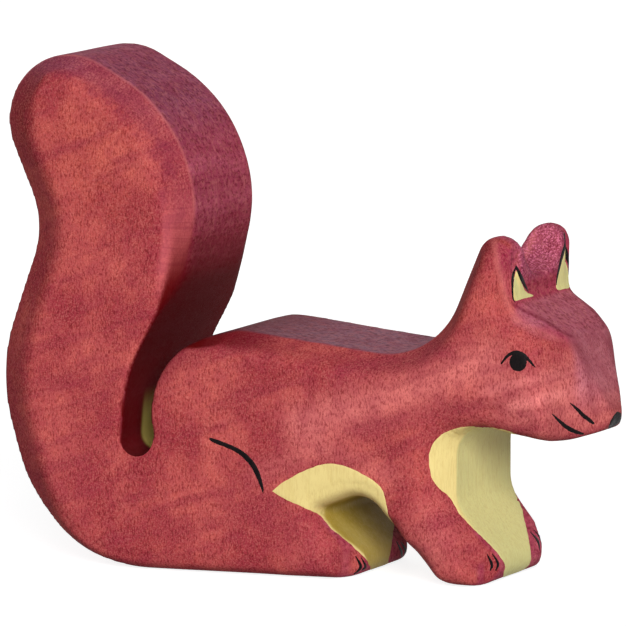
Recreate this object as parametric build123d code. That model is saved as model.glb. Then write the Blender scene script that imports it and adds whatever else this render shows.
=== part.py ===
"""Toy squirrel sawn from one thick board and painted by brush.

Millimetres, +Z up. The squirrel looks along +X and stands on z = 0; its right side is -Y.
The outline is a saw line that bends round discs. Every paint coat is a thin solid lying on the wood.
"""
import os
from math import asin, atan2, cos, hypot, pi, sin, sqrt

from build123d import *

# The board and its sanded edge
BOARD = 30.0  # thickness of the plank
EDGE_DEPTH = 4.0  # sanded edge, down the sawn wall
EDGE_INSET = 2.0  # sanded edge, in over the side face
REAR_DEPTH = 4.2  # the same along the rear of tail and rump, where the sanding is wider
REAR_INSET = 5.0
REAR_START = 28.4  # the wide sanding's front end, behind the middle
COAT = 0.2  # brushed paint

# Tail and rump
RUMP_REACH = 45.5  # rear of the rump behind the middle
RUMP_R = 24.8
RUMP_RISE = 5.2  # centre of the rump above that of the heel
HEEL_STEP = 3.0  # heel's radius under the rump's
HEEL_BACK = 1.6
TAIL_TOP = 74.2
CROWN_R = 9.7
CROWN_INSET = 0.8  # rear of the tail's crown in from that of the rump
HOLLOW_R = 13.8  # hollow behind the tail
HOLLOW_LOW_RUN = 10.1  # straight saw runs below and above it
HOLLOW_HIGH_RUN = 6.9
BRUSH_REACH = 15.5  # front of the tail behind the middle
BRUSH_DROP = 0.3  # top of the front's bow under the tail's top
BRUSH_SINK = 5.4  # its foot under the back

# Back, nape and ears
BACK_TOP = 35.2
BACK_RUN = 2.6  # straight saw run from the fork to the back's hump
HUMP_R = 17.8
FORK_LEAD = 1.1  # fork between tail and back, ahead of the tail's front
FORK_DROP = 0.7
FORK_R = 3.5
NAPE_DROP = 2.4  # lowest place of the back under its top
NAPE_GAP = 5.2  # rear of the ears from their middle at the nape
NAPE_R = 12.0
EAR_BACK = 4.4  # middle of the ears behind the crease in front of them
EAR_RISE = 8.3
EAR_R = 2.9
EAR_GAP_R = 8.8  # round valley between the two ears
EAR_GAP_DEPTH = 6.4

# Head
NOSE_LEAD = 20.5  # nose ahead of the chest
NOSE_Z = 24.2
NOSE_R = 2.3
BROW_BACK = 3.5
BROW_RISE = 9.0
BROW_R = 4.4
CREASE_BACK = 9.8
CREASE_RISE = 8.8  # above the brow
CREASE_R = 1.8
CHIN_BACK = 5.9
CHIN_DROP = 3.1
CHIN_R = 6.5
THROAT_DROP = 1.2
THROAT_R = 4.4
MUZZLE_WIDTH = 4.2  # left between the two cheek cuts at the nose
MUZZLE_RUN = 7.5  # length of a cheek cut along the head

# Chest, legs and belly arch
CHEST_REACH = 25.0  # chest ahead of the middle
CHEST_Z = 13.5
CHEST_R = 5.6
FORE_TOE_LEAD = 5.9  # ahead of the chest
FORE_TOE_R = 2.8
FORE_FOOT = 2.9  # heel behind the toe, centre to centre
FORE_HEEL_R = 5.0
HIND_TOE_REACH = 10.1
HIND_TOE_R = 2.3
KNEE_BACK = 5.3
KNEE_Z = 9.6
KNEE_R = 0.8
ARCH_LEAD = 0.5  # middle of the arch ahead of the hind toe
ARCH_TOP = 12.2
ARCH_R = 4.3
TOE_WIDTH = 17.0  # left between the two corner cuts of a foot
TOE_RUN = 5.0

# Slot between tail and back
SLOT_BORE = 5.2  # drilled end of the slot
SLOT_BACK = 7.5  # behind the tail's front
SLOT_Z = 19.2
SLOT_BEND_R = 25.0  # bend of the wall on the tail's side
SLOT_BEND_RISE = 1.8
SLOT_MOUTH_R = 1.0
SLOT_MOUTH_DROP = 6.5  # upper end of that wall under the middle of the tail's front
SLOT_LIP_R = 12.0  # rounded shoulder of the back
SLOT_LIP_GAP = 2.2  # shoulder from the middle of the slot
SLOT_LIP_DROP = 12.3

# Paint: eyes, whiskers and ears
EYE_BACK = 9.6  # behind the nose and above it
EYE_RISE = 8.8
EYE_WIDTH = 2.3
EYE_HEIGHT = 2.6
LID_STROKE = 0.45
LID_REACH = 2.7  # half the lid's length
LID_RISE = 2.0
WHISKER_STROKE = 0.7
WHISKER_REAR = 3.7  # start of the upper whisker behind the nose and above it
WHISKER_RISE = 2.8
WHISKER_RUN = 2.6
WHISKER_DROP = 3.1
WHISKER_STEP = 1.7  # the lower whisker starts this much further back
EAR_WEDGE_DROP = 0.8  # foot of the cream wedge under the crease's middle
EAR_WEDGE_WIDTH = 6.4
EAR_WEDGE_HEIGHT = 4.8
EAR_WEDGE_LEAN = 1.4  # tip of the wedge in from its outer foot
EAR_STROKE = 0.5
NOSE_PATCH_WIDTH = 5.0
NOSE_PATCH_RISE = 0.8
NOSE_PATCH_DEPTH = 1.2

# Paint: thighs, belly, bib and claws
THIGH_STROKE = 0.6
THIGH_BACK = 8.0  # lower end of the thigh line behind the knee
THIGH_LIFT = 2.9
THIGH_REACH = 8.2
THIGH_RISE = 7.2
LEAF_REAR = 12.5  # pointed rear end of the belly patch behind the arch's middle
LEAF_RISE = 5.0  # above the arch
LEAF_BACK = 2.0
LEAF_FRONT = 7.6
BIB_BACK = 1.8  # middle of the round bib behind that of the throat and under it
BIB_DROP = 0.6
BIB_R = 5.3
BIB_STRIPE = 24.0  # cream stripe down the fore legs, at the chest and at the foot
BIB_FOOT = 9.6
BELLY_FOOT = 7.2  # cream stripe down the hind legs, at the foot
CLAW_STROKE = 0.55
CLAW_PITCH = 1.5
CLAW_HEIGHT = 3.0
CLAW_Y = 9.3  # middle of a foot's two claws from the middle of the board
SOLE_GAP = 0.4  # bare wood left above the ground


def hollow_between(a, b, radius, run_a, run_b):
    """Hollow to the left of the way from disc a to disc b, with a straight run to each."""
    far_a = hypot(a[2] + radius, run_a)
    far_b = hypot(b[2] + radius, run_b)
    dx, dz = b[0] - a[0], b[1] - a[1]
    apart = hypot(dx, dz)
    along = (far_a**2 - far_b**2 + apart**2) / (2 * apart)
    aside = sqrt(far_a**2 - along**2)
    return a[0] + (dx * along - dz * aside) / apart, a[1] + (dz * along + dx * aside) / apart, -radius


# Discs that the saw goes round: centre x, centre z, radius; a hollow outside the wood has a negative radius
HEEL_R = RUMP_R - HEEL_STEP
RUMP = (RUMP_R - RUMP_REACH, HEEL_R + RUMP_RISE, RUMP_R)
HEEL = (RUMP[0] - HEEL_BACK, HEEL_R, HEEL_R)
CROWN = (CROWN_R + CROWN_INSET - RUMP_REACH, TAIL_TOP - CROWN_R, CROWN_R)
HOLLOW = hollow_between(RUMP, CROWN, HOLLOW_R, HOLLOW_LOW_RUN, HOLLOW_HIGH_RUN)
BRUSH_R = (TAIL_TOP - BRUSH_DROP - BACK_TOP + BRUSH_SINK) / 2
BRUSH = (-BRUSH_REACH - BRUSH_R, TAIL_TOP - BRUSH_DROP - BRUSH_R, BRUSH_R)
FORK = (FORK_LEAD - BRUSH_REACH, BACK_TOP - FORK_DROP + FORK_R, -FORK_R)
HUMP_LEAD = sqrt(BACK_RUN**2 + (HUMP_R + FORK_R) ** 2 - (HUMP_R + FORK_R - FORK_DROP) ** 2)
HUMP = (FORK[0] + HUMP_LEAD, BACK_TOP - HUMP_R, HUMP_R)
NOSE_REACH = CHEST_REACH + NOSE_LEAD
BROW = (NOSE_REACH - BROW_BACK - BROW_R, NOSE_Z + BROW_RISE, BROW_R)
CREASE = (NOSE_REACH - CREASE_BACK, BROW[1] + CREASE_RISE, -CREASE_R)
EAR = (CREASE[0] - EAR_BACK, CREASE[1] + EAR_RISE - EAR_R, EAR_R)
NAPE = (EAR[0] - NAPE_GAP - NAPE_R, BACK_TOP - NAPE_DROP + NAPE_R, -NAPE_R)
NOSE = (NOSE_REACH - NOSE_R, NOSE_Z, NOSE_R)
CHIN = (NOSE_REACH - CHIN_BACK, NOSE_Z - CHIN_DROP + CHIN_R, CHIN_R)
THROAT = (CHEST_REACH + THROAT_R, NOSE_Z - THROAT_DROP - THROAT_R, -THROAT_R)
CHEST = (CHEST_REACH + CHEST_R, CHEST_Z, -CHEST_R)
FORE_TOE_REACH = CHEST_REACH + FORE_TOE_LEAD
FORE_TOE = (FORE_TOE_REACH - FORE_TOE_R, FORE_TOE_R, FORE_TOE_R)
FORE_HEEL = (FORE_TOE[0] - FORE_FOOT, FORE_HEEL_R, FORE_HEEL_R)
ARCH = (HIND_TOE_REACH + ARCH_LEAD, ARCH_TOP - ARCH_R, -ARCH_R)
KNEE = (HIND_TOE_REACH - KNEE_BACK + KNEE_R, KNEE_Z, -KNEE_R)
HIND_TOE = (HIND_TOE_REACH - HIND_TOE_R, HIND_TOE_R, HIND_TOE_R)
OUTLINE = [
    HEEL, RUMP, HOLLOW, CROWN, BRUSH, FORK, HUMP, NAPE, EAR, CREASE, BROW, NOSE, CHIN, THROAT, CHEST,
    FORE_TOE, FORE_HEEL, ARCH, KNEE, HIND_TOE,
]

# Slot cutter in the same way: drilled end, wall of the tail, open mouth, shoulder of the back
SLOT_X = -BRUSH_REACH - SLOT_BACK
SLOT = [
    (SLOT_X, SLOT_Z, SLOT_BORE / 2),
    (SLOT_X - SLOT_BORE / 2 + COAT + SLOT_BEND_R, SLOT_Z + SLOT_BEND_RISE, SLOT_BEND_R),
    (FORK[0], BRUSH[1] - SLOT_MOUTH_DROP, SLOT_MOUTH_R),
    (HUMP[0], BACK_TOP + SLOT_MOUTH_R + COAT, SLOT_MOUTH_R),
    (SLOT_X + SLOT_LIP_GAP + SLOT_LIP_R, BACK_TOP - SLOT_LIP_DROP, -SLOT_LIP_R),
]


def at(x, z):
    return Vector(x, 0, z)


def saw_line(discs, grow=0.0):
    """Face bounded by arcs round the discs and by the lines that touch two of them."""
    radii = [r + grow for _, _, r in discs]
    headings = []
    for i, (x, z, _) in enumerate(discs):
        j = (i + 1) % len(discs)
        dx, dz = discs[j][0] - x, discs[j][1] - z
        headings.append(atan2(dz, dx) + asin((radii[j] - radii[i]) / hypot(dx, dz)))

    def rim(i, heading):
        return at(discs[i][0] - radii[i] * sin(heading), discs[i][1] + radii[i] * cos(heading))

    edges = []
    for i, r in enumerate(radii):
        came, goes = headings[i - 1], headings[i]
        turn = (goes - came) % (2 * pi) - (2 * pi if r > 0 else 0)
        edges.append(ThreePointArc(rim(i, came), rim(i, came + turn / 2), rim(i, goes)))
        edges.append(Line(rim(i, goes), rim((i + 1) % len(discs), goes)))
    return make_face(edges)


def through(face):
    """Cutter as wide as the board and more, across Y."""
    return extrude(face, amount=BOARD, dir=(0, 1, 0), both=True)


def corner_cuts(tip, width, run, top, grow):
    """Two upright cuts that narrow a muzzle or a foot to a width at its tip."""
    drop = (BOARD - width) / 2
    along = Vector(run, -drop, 0).normalized()
    out = Vector(drop, run, 0).normalized()
    rear = Vector(tip - run, BOARD / 2, -BOARD) + out * grow - along * run / 2
    front = Vector(tip, width / 2, -BOARD) + out * grow + along * run / 4
    plan = Polyline(rear, front, front + out * BOARD / 2, rear + out * BOARD / 2, close=True)
    cut = extrude(make_face(plan), amount=BOARD + top, dir=(0, 0, 1))
    return cut + mirror(cut, Plane.XZ)


def rear_sanding(grow):
    """What the wide sanding takes off the rear edges: all outside the saw line as it leans in over a flank."""
    start = BOARD / 2 - REAR_DEPTH
    lean = Vector(REAR_INSET, REAR_DEPTH, 0).normalized()
    kept = extrude(Pos(0, start, 0) * saw_line(OUTLINE, grow), amount=BOARD, dir=lean)
    tall, deep = 2 * TAIL_TOP, 2 * REAR_DEPTH
    zone = Pos(-REAR_START, start, 0) * Box(RUMP_REACH, deep, tall, align=(Align.MAX, Align.MIN, Align.CENTER))
    waste = zone - kept
    return waste + mirror(waste, Plane.XZ)


def board(grow=0.0):
    """The sawn and sanded figure; grown all round, it is the outside of a coat of paint."""
    body = extrude(saw_line(OUTLINE, grow), amount=BOARD / 2 + grow, dir=(0, 1, 0), both=True)
    share = 1 + grow * (1 / EDGE_DEPTH + 1 / EDGE_INSET - hypot(1 / EDGE_DEPTH, 1 / EDGE_INSET))
    for side in (0, -1):
        face = body.faces().sort_by(Axis.Y)[side]
        body = body.chamfer(EDGE_INSET * share, EDGE_DEPTH * share, face.edges(), face)
    body -= rear_sanding(grow)
    body -= corner_cuts(NOSE_REACH, MUZZLE_WIDTH, MUZZLE_RUN, TAIL_TOP, grow)
    body -= corner_cuts(FORE_TOE_REACH, TOE_WIDTH, TOE_RUN, CHEST_Z, grow)
    body -= corner_cuts(HIND_TOE_REACH, TOE_WIDTH, TOE_RUN, KNEE_Z, grow)
    valley = Cylinder(EAR_GAP_R - grow, BOARD, rotation=(0, 90, 0))
    body -= Pos(EAR[0], 0, EAR[1] + EAR_R - EAR_GAP_DEPTH + EAR_GAP_R) * valley
    return body - through(saw_line(SLOT))


wood = board()
coat = board(COAT)


def painted(*stencils):
    """The part of the coat that the stencils let through, without the wood under it."""
    layer = coat & stencils[0]
    for more in stencils[1:]:
        layer += coat & more
    return layer - wood


def side_stencil(face, side):
    """Cut-out laid on one flank; side is -1 for the right flank and 1 for the left."""
    return extrude(face, amount=BOARD, dir=(0, side, 0))


def stroke(points, width, side):
    """Brush stroke on a flank that starts thin, swells and ends round."""
    line = Spline(*[at(x, z) for x, z in points])
    rims = ([], [])
    for k in range(5):
        t = k / 4
        half = width * (0.2 + 0.3 * sin(pi * (0.15 + 0.75 * t)))
        across = (line % t).cross(Vector(0, 1, 0)) * half
        rims[0].append(line @ t + across)
        rims[1].append(line @ t - across)
    upper = Spline(*rims[0])
    lower = Spline(*rims[1])
    ends = [Line(upper @ 0, lower @ 0), Line(upper @ 1, lower @ 1)]
    return side_stencil(make_face([upper, lower, *ends]), side)


def front_stencil(points, rear, tip):
    """Cut-out seen from the front: (y, z) corners, reaching along X from rear to just past the tip."""
    face = make_face(Polyline(*[Vector(rear, y, z) for y, z in points], close=True))
    return extrude(face, amount=tip - rear + 2 * COAT, dir=(1, 0, 0))


def eye(side):
    x, z = NOSE_REACH - EYE_BACK, NOSE_Z + EYE_RISE
    flank = Plane((x, 0, z), x_dir=(1, 0, 0), z_dir=(0, -1, 0))
    pupil = flank * Ellipse(EYE_WIDTH / 2, EYE_HEIGHT / 2)
    top = z + EYE_HEIGHT / 2 + LID_STROKE / 2
    lid = [(x + LID_REACH * s, top - LID_RISE * s * s) for s in (-1, -0.5, 0, 0.5, 1)]
    return painted(side_stencil(pupil, side), stroke(lid, LID_STROKE, side))


def whiskers(side):
    strokes = []
    for step in (0, WHISKER_STEP):
        x = NOSE_REACH - WHISKER_REAR - step
        z = NOSE_Z + WHISKER_RISE - 0.8 * step
        bend = (x + 0.45 * WHISKER_RUN, z - 0.55 * WHISKER_DROP)
        strokes.append(stroke([(x, z), bend, (x + WHISKER_RUN, z - WHISKER_DROP)], WHISKER_STROKE, side))
    return painted(*strokes)


def thigh_line(side):
    """A quarter of an ellipse, rising to the rear."""
    x, z = HIND_TOE_REACH - KNEE_BACK - THIGH_BACK, KNEE_Z + THIGH_LIFT
    turns = [k * pi / 8 for k in range(5)]
    bow = [(x - THIGH_REACH * (1 - cos(t)), z + THIGH_RISE * sin(t)) for t in turns]
    return painted(stroke(bow, THIGH_STROKE, side))


def ear_wedge(side):
    """Corners of the cream wedge on an ear, as (y, z): outer foot, tip, inner foot."""
    outer = BOARD / 2 - EDGE_DEPTH
    foot = CREASE[1] - EAR_WEDGE_DROP
    tip = (side * (outer - EAR_WEDGE_LEAN), foot + EAR_WEDGE_HEIGHT)
    return (side * outer, foot), tip, (side * (outer - EAR_WEDGE_WIDTH), foot)


def ear_lines(side):
    """One stroke along each slanting side of the wedge, widest half way."""
    outer, tip, inner = ear_wedge(side)
    strokes = []
    for foot, swell in ((outer, side * EAR_STROKE), (inner, -side * EAR_STROKE)):
        y, z = (foot[0] + tip[0]) / 2, (foot[1] + tip[1]) / 2
        leaf = [tip, (y + swell, z), (foot[0], foot[1] + EAR_STROKE), (y - swell / 2, z)]
        strokes.append(front_stencil(leaf, EAR[0], CREASE[0]))
    return painted(*strokes)


def ear_paint(side):
    return painted(front_stencil(ear_wedge(side), EAR[0], CREASE[0])) - ear_lines(side)


def claws(reach, side):
    """Two upright strokes on the outer half of a foot's front."""
    half = CLAW_STROKE / 2
    foot = 2 * SOLE_GAP
    bars = []
    for y in (side * CLAW_Y - CLAW_PITCH / 2, side * CLAW_Y + CLAW_PITCH / 2):
        tall = [(y - half, foot), (y - half, CLAW_HEIGHT - half), (y, CLAW_HEIGHT),
                (y + half, CLAW_HEIGHT - half), (y + half, foot)]
        bars.append(front_stencil(tall, reach - TOE_RUN, reach))
    return painted(*bars)


def stripe(top_width, top, foot_width, rear, tip):
    """Cream stripe down the front of a leg, narrower at the foot."""
    return front_stencil([(-top_width / 2, top), (top_width / 2, top),
                          (foot_width / 2, SOLE_GAP), (-foot_width / 2, SOLE_GAP)], rear, tip)


def bib():
    """Chest coat: a round patch on both flanks and the throat, and a stripe between the fore legs."""
    patch = at(THROAT[0] - BIB_BACK, THROAT[1] - BIB_DROP)
    rim = ThreePointArc(patch - at(BIB_R, 0), patch + at(0, BIB_R), patch + at(BIB_R, 0))
    lower = ThreePointArc(rim @ 1, patch - at(0, BIB_R), rim @ 0)
    return painted(through(make_face([rim, lower])),
                   stripe(BIB_STRIPE, CHEST_Z, BIB_FOOT, CHEST_REACH, FORE_TOE_REACH))


def belly():
    """Belly coat: a leaf-shaped patch on both flanks, the arch, and a stripe between the hind feet."""
    x, knee = ARCH[0], at(HIND_TOE_REACH - KNEE_BACK, KNEE_Z)
    rear, front = at(x - LEAF_REAR, ARCH_TOP), at(x + LEAF_FRONT, KNEE_Z - KNEE_R)
    crest = at(x - LEAF_BACK, ARCH_TOP + LEAF_RISE)
    rim = Spline(rear, crest, front, tangents=[at(1.0, 0.75), at(0.45, -1.0)])
    patch = make_face([rim, Line(front, knee), Line(knee, rear)])
    return painted(through(patch), stripe(BOARD, KNEE_Z, BELLY_FOOT, knee.X, HIND_TOE_REACH))


def nose():
    half = NOSE_PATCH_WIDTH / 2
    low, middle = NOSE_Z - CHIN_DROP, NOSE_Z - NOSE_R / 2
    patch = [(-half, low), (half, low), (half, middle), (0, NOSE_Z + NOSE_PATCH_RISE), (-half, middle)]
    return painted(front_stencil(patch, NOSE_REACH - NOSE_PATCH_DEPTH, NOSE_REACH))


nodes = {"wooden_body": wood, "bib_paint": bib(), "belly_paint": belly(), "nose_paint": nose()}
for name, side in (("right", -1), ("left", 1)):
    nodes[f"{name}_eye"] = eye(side)
    nodes[f"{name}_ear_paint"] = ear_paint(side)
    nodes[f"{name}_ear_lines"] = ear_lines(side)
    nodes[f"{name}_whiskers"] = whiskers(side)
    nodes[f"{name}_thigh_line"] = thigh_line(side)
    nodes[f"{name}_fore_claws"] = claws(FORE_TOE_REACH, side)
    nodes[f"{name}_hind_claws"] = claws(HIND_TOE_REACH, side)

os.makedirs("parts", exist_ok=True)
for name, shape in nodes.items():
    export_step(shape, f"parts/{name}.step")
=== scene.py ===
from math import cos, radians, sin

import bpy
import numpy as np
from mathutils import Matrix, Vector, kdtree, noise


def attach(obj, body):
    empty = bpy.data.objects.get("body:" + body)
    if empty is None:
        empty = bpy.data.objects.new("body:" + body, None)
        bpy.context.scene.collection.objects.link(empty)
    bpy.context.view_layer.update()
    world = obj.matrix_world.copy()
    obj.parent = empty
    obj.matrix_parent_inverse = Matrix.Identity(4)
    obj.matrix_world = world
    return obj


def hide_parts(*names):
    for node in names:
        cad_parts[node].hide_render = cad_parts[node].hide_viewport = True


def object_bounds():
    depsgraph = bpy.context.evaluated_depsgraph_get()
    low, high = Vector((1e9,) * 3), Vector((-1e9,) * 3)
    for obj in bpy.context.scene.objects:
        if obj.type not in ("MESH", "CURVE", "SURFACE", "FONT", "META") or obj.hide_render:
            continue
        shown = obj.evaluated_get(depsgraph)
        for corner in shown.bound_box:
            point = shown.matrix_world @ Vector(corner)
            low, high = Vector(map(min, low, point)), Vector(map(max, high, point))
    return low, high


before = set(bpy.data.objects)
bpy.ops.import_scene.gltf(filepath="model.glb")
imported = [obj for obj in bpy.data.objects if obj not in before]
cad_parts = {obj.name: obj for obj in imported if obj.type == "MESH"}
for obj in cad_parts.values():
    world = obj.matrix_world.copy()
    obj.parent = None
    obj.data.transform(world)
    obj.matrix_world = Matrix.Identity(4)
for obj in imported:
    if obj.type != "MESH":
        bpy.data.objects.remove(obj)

cad_box = [[float(value) for value in corner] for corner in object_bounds()]

# The board: one piece of pale hardwood, sawn round the outline, hollowed between the ears and pared at the
# cheeks and toes. Its edges are sanded off by hand, wider where the hand could lean on them, and the whole
# figure is stained red, thin enough for the pores to show.
half_board = 15.0  # wood and paint are measured in millimetres, the materials and the table in metres
saw_line = 10.9
skin_step = 0.47
strokes_of_paper = 36
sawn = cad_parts["wooden_body"]


def listed(items, field, columns, kind=float):
    """One field of all the points, edges or triangles of a mesh, with a row for each."""
    flat = np.empty(columns * len(items), kind)
    items.foreach_get(field, flat)
    return flat.reshape(-1, columns)


def points_of(mesh):
    """The points of a mesh, in millimetres."""
    return 1000 * listed(mesh.vertices, "co", 3)


def normals_of(mesh):
    """The way the surface faces at each point of a mesh."""
    return listed(mesh.vertex_normals, "vector", 3)


def pairs_of(mesh):
    """The two points at the ends of each edge of a mesh."""
    return listed(mesh.edges, "vertices", 2, int)


def ramp(value, low, high):
    """A soft step from zero at low to one at high."""
    part = np.clip((value - low) / (high - low), 0, 1)
    return part * part * (3 - 2 * part)


def set_up(name, data):
    """A new object in the scene."""
    placed = bpy.data.objects.new(name, data)
    bpy.context.scene.collection.objects.link(placed)
    return placed


blank = set_up("blank", sawn.data.copy())
even = blank.modifiers.new("even_skin", "REMESH")
even.mode = "VOXEL"
even.voxel_size = skin_step / 1000
skin = bpy.data.meshes.new_from_object(blank.evaluated_get(bpy.context.evaluated_depsgraph_get()))
bpy.data.objects.remove(blank)
skin.name = "squirrel_board"
wood = points_of(skin)

# where the sanded edge meets the sawn wall, read from the board's own edge lines
runs = points_of(sawn.data)[pairs_of(sawn.data)]
runs = runs[(np.abs(np.abs(runs[:, :, 1]) - saw_line) < 0.12).all(1) & (runs[:, 0, 1] * runs[:, 1, 1] > 0)]
along = np.linspace(0, 1, 100)[:, None, None]
rim = (runs[:, 0] * (1 - along) + runs[:, 1] * along).reshape(-1, 3)
finder = kdtree.KDTree(len(rim))
for index, (x, y, z) in enumerate(rim):
    finder.insert((x, 0, z), index)
finder.balance()

edge_zone = np.flatnonzero(np.abs(wood[:, 1]) > saw_line - 0.1)
found = [finder.find((x, 0, z)) for x, y, z in wood[edge_zone]]
edge = np.array([hit[0] for hit in found])
gap = np.array([hit[2] for hit in found])
aside = (edge - wood[edge_zone]) / np.maximum(gap, 0.3)[:, None]

# the hand leans hardest on the rear, the top, the chest and the tail, and turns the bottom edges and the
# lip of the belly arch round
leftward = ramp(-edge[:, 0], 26, 30) * np.maximum(-aside[:, 0], 0)
upward = ramp(aside[:, 2], 0.3, 0.9)
downward = ramp(-aside[:, 2], 0.5, 0.95)
on_chest = ramp(edge[:, 0], 20.6, 23.6) * ramp(24 - edge[:, 2], 0, 2) * ramp(edge[:, 2], 10, 14)
on_arch = (ramp(edge[:, 0], -1, 2) * ramp(20 - edge[:, 0], 0, 2)
           * ramp(15 - edge[:, 2], 0, 2) * ramp(edge[:, 2], 3, 6))
downward = np.maximum(downward, on_arch)
on_brush = ramp(edge[:, 2], 40, 60) * ramp(-edge[:, 0], 8, 16) * np.maximum(aside[:, 0], 0)
inset = np.maximum(2.1 + 0.6 * upward + 0.3 * downward + 1.4 * on_chest + 1.5 * on_brush, 5.1 * leftward)
part = gap / inset
rounded = np.sqrt(1 - (1 - np.clip(part, 0, 1)) ** 2) + np.maximum(part - 1, 0)
bevel = saw_line + (half_board - saw_line) * (part + downward * (rounded - part))
soft = 1.5 + 1.6 * on_chest - 0.4 * leftward - 0.6 * downward
level = np.full_like(bevel, half_board)
overlap = np.maximum(soft - np.abs(bevel - level), 0) / soft
level = np.minimum(bevel, level) - overlap ** 2 * soft / 4
level = np.minimum(level, np.abs(wood[edge_zone, 1]) + 1.6 * downward)
wood[edge_zone, 1] = np.sign(wood[edge_zone, 1]) * level

# the forehead is flat between the eyes and falls away a little to both sides
brow_slope = (0.5635, 0, 0.826)
flat_brow = 9.4
x, y, z = wood.T
above = (x - 34.7) * brow_slope[0] + (z - 40.5) * brow_slope[2]
on_forehead = ramp(x, 33.6, 35) * ramp(41.5 - x, 0, 1.4) * ramp(z, 34, 36)
past_flat = np.maximum(np.abs(y) - flat_brow, 0)
sunk = np.maximum(above + 0.25 * past_flat, 0) * (past_flat > 0) * on_forehead
wood -= sunk[:, None] * brow_slope

# the paper takes off both outer corners between forehead and muzzle
corner_x, corner_y, corner_z = 0.716, 0.363, 0.596
x, y, z = wood.T
proud = np.maximum(corner_x * (x - 38.85) + corner_y * (np.abs(y) - 11.6) + corner_z * (z - 36.35), 0)
proud *= (x > 33) * ramp(41 - z, 0, 2) * (z > 28)
wood -= np.stack((corner_x * proud, corner_y * np.sign(y) * proud, corner_z * proud), 1)

# hand sanding rounds the legs and the head most, and leaves the sawn lines of the back and tail crisp
x, y, z = wood.T
on_legs = ramp(13 - z, 0, 4) * ramp(x, -0.4, 5.6)
on_head = ramp(x, 24.6, 31.6) * ramp(z, 16, 22)
on_toes = ramp(x, 24, 28) * ramp(10 - z, 0, 3)
on_brow = ramp(above, -2.4, -0.5) * ramp(41.5 - x, 0, 2) * ramp(x, 31, 33)
on_cheek = (ramp(x, 34, 37) * ramp(41 - z, 0, 4) * (1 - on_brow)
            * np.maximum(ramp(np.abs(y), 6, 10), ramp(z, 27, 31)))
on_neck = np.exp(-((x + 16.8) / 4) ** 2 - ((z - 43) / 5) ** 2)
firmness = 0.03 + 0.3 * on_legs * (1 - 0.8 * on_toes) + 0.06 * on_head + 0.9 * on_cheek + 0.9 * on_neck
firmness = np.clip(firmness, 0, 1)[:, None]
pairs = pairs_of(skin)
neighbours = np.bincount(pairs.ravel(), minlength=len(wood))


def evened(values):
    """Mean of the values at the neighbouring points of the skin."""
    total = np.bincount(pairs[:, 0], values[pairs[:, 1]], len(values))
    return (total + np.bincount(pairs[:, 1], values[pairs[:, 0]], len(values))) / neighbours


def midway(points):
    """The middle of the neighbours of each point of the skin."""
    return np.stack([evened(points[:, axis]) for axis in range(3)], 1)


for stroke in range(strokes_of_paper):
    wood += 0.5 * firmness * (midway(wood) - wood)
skin.vertices.foreach_set("co", (wood / 1000).ravel())
skin.update()

# the paper never leaves a face quite flat
waver_length, waver_depth, swell = 9, 0.06, 0.05
waver = np.array([noise.noise(Vector(point) / waver_length) for point in wood])
wood += normals_of(skin) * (swell - waver_depth * waver)[:, None]
wood = np.clip(wood, 1000 * np.array(cad_box[0]), 1000 * np.array(cad_box[1]))
skin.vertices.foreach_set("co", (wood / 1000).ravel())
skin.shade_smooth()
skin.update()
wood_normals = normals_of(skin)
skin.calc_loop_triangles()
wood_triangles = listed(skin.loop_triangles, "vertices", 3, int)

board = set_up("squirrel_board", skin)

# the painter's eye, which is also where the camera stands
turn, tilt = radians(22), radians(6.5)
rightward = np.array((cos(turn), sin(turn), 0))
skyward = np.array((-sin(turn) * sin(tilt), cos(turn) * sin(tilt), cos(tilt)))
toward = np.array((sin(turn) * cos(tilt), -cos(turn) * cos(tilt), sin(tilt)))
middle = np.array((-1.5, 0, 36.85))
stand_off = 1304.35


def seen(spots):
    """Where points lie as the painter sees them, from in front of the right cheek: to the right and up."""
    spots = spots - middle
    nearer = stand_off / (stand_off - spots @ toward)
    return np.stack((spots @ rightward, spots @ skyward), 1) * nearer[:, None]


def folded(spots):
    """The same points with the left half of the figure laid over the right one."""
    return spots * (1, 0, 1) - np.abs(spots[:, 1:2]) * (0, 1, 0)


def flowing(points, steps=8):
    """A smooth line through points, with as many columns as they have."""
    points = np.array(points, float)
    ends = np.vstack((2 * points[0] - points[1], points, 2 * points[-1] - points[-2]))
    before, start, stop, after = ends[:-3], ends[1:-2], ends[2:-1], ends[3:]
    t = np.linspace(0, 1, steps, endpoint=False)[:, None, None]
    bends = 0.5 * (2 * start + (stop - before) * t + (2 * before - 5 * start + 4 * stop - after) * t ** 2
                   + (3 * start - before - 3 * stop + after) * t ** 3)
    return np.vstack((bends.transpose(1, 0, 2).reshape(-1, points.shape[1]), points[-1:]))


def from_line(spots, line):
    """Distance of each point from a line, and the nearest place on the line."""
    start, step = line[:-1, :2], np.diff(line[:, :2], axis=0)
    length = np.maximum((step ** 2).sum(1), 1e-9)
    away = spots[:, None] - start
    part = np.clip((away * step).sum(2) / length, 0, 1)
    apart = np.hypot(*(away - part[:, :, None] * step).transpose(2, 0, 1))
    best = apart.argmin(1)
    rows = np.arange(len(spots))
    return apart[rows, best], best + part[rows, best]


def within(spots, outline):
    """How far inside a closed outline each point lies, below zero outside."""
    ring = np.vstack((outline, outline[:1]))
    apart = from_line(spots, ring)[0]
    low, high = ring[:-1], ring[1:]
    between = (low[:, 1] > spots[:, 1:2]) != (high[:, 1] > spots[:, 1:2])
    drop = np.where(high[:, 1] == low[:, 1], 1e-9, high[:, 1] - low[:, 1])
    crossing = low[:, 0] + (spots[:, 1:2] - low[:, 1]) / drop * (high[:, 0] - low[:, 0])
    inside = (between & (spots[:, :1] < crossing)).sum(1) % 2
    return np.where(inside, apart, -apart)


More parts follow.
